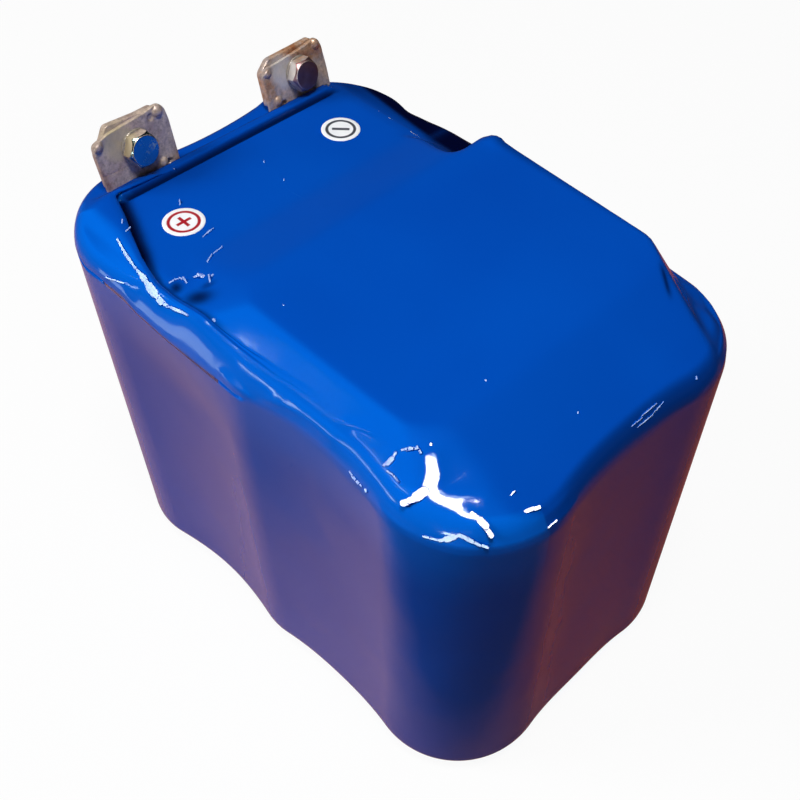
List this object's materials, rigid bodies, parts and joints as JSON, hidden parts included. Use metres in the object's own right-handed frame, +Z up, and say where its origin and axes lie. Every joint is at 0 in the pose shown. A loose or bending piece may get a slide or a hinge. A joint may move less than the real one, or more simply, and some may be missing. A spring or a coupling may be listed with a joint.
{
  "type": "supercapacitor module",
  "caption": "Block of round supercapacitor cells in glossy blue shrink wrap, with a raised balance board on top and two upright bolt terminals at one end.",
  "frame": {"origin": "centre of the underside, on the surface that the module stands on", "axes": "+X along the long side, away from the terminals; +Y from the plus terminal to the minus terminal; +Z up along the cells"},
  "size_m": [0.188, 0.1246, 0.1633],
  "materials": {
    "cell_can": "satin",
    "spacer_foam": "foam",
    "bus_bar": "satin",
    "insulating_sheet": "matte",
    "cover_sheet": "matte",
    "circuit_board": "solder mask",
    "component": "moulded",
    "resistor": "moulded",
    "indicator": "clear",
    "board_screw": "satin",
    "lead": "matte",
    "sense_strip": "satin",
    "terminal": "dull",
    "nut_plate": "dull",
    "bolt": "satin",
    "support_bar": "matte",
    "film": "glossy",
    "plus_sticker": "satin",
    "minus_sticker": "satin"
  },
  "bodies": {
    "root": {"balance_board": "circuit_board", "balance_indicators": "indicator", "balance_lead_1_2": "lead", "balance_lead_3_4": "lead", "balance_lead_5_6": "lead", "balance_resistors": "resistor", "balance_transistors": "component", "board_cover_sheet": "insulating_sheet", "board_pad": "spacer_foam", "board_screws": "board_screw", "bottom_cover_sheet": "cover_sheet", "bottom_insulating_board": "insulating_sheet", "bus_bar_1_2": "bus_bar", "bus_bar_2_3": "bus_bar", "bus_bar_3_4": "bus_bar", "bus_bar_4_5": "bus_bar", "bus_bar_5_6": "bus_bar", "cell_1": "cell_can", "cell_2": "cell_can", "cell_3": "cell_can", "cell_4": "cell_can", "cell_5": "cell_can", "cell_6": "cell_can", "cell_spacer_strips": "spacer_foam", "film_wrap": "film", "minus_bolt": "bolt", "minus_nut_plate": "nut_plate", "minus_sense_strip": "sense_strip", "minus_sticker": "minus_sticker", "minus_terminal_tab": "terminal", "minus_washer": "bolt", "plus_bolt": "bolt", "plus_nut_plate": "nut_plate", "plus_sense_strip": "sense_strip", "plus_sticker": "plus_sticker", "plus_terminal_tab": "terminal", "plus_washer": "bolt", "terminal_support_bar": "support_bar", "top_insulating_board": "insulating_sheet", "voltage_detectors": "component"}
  },
  "joints": []
}
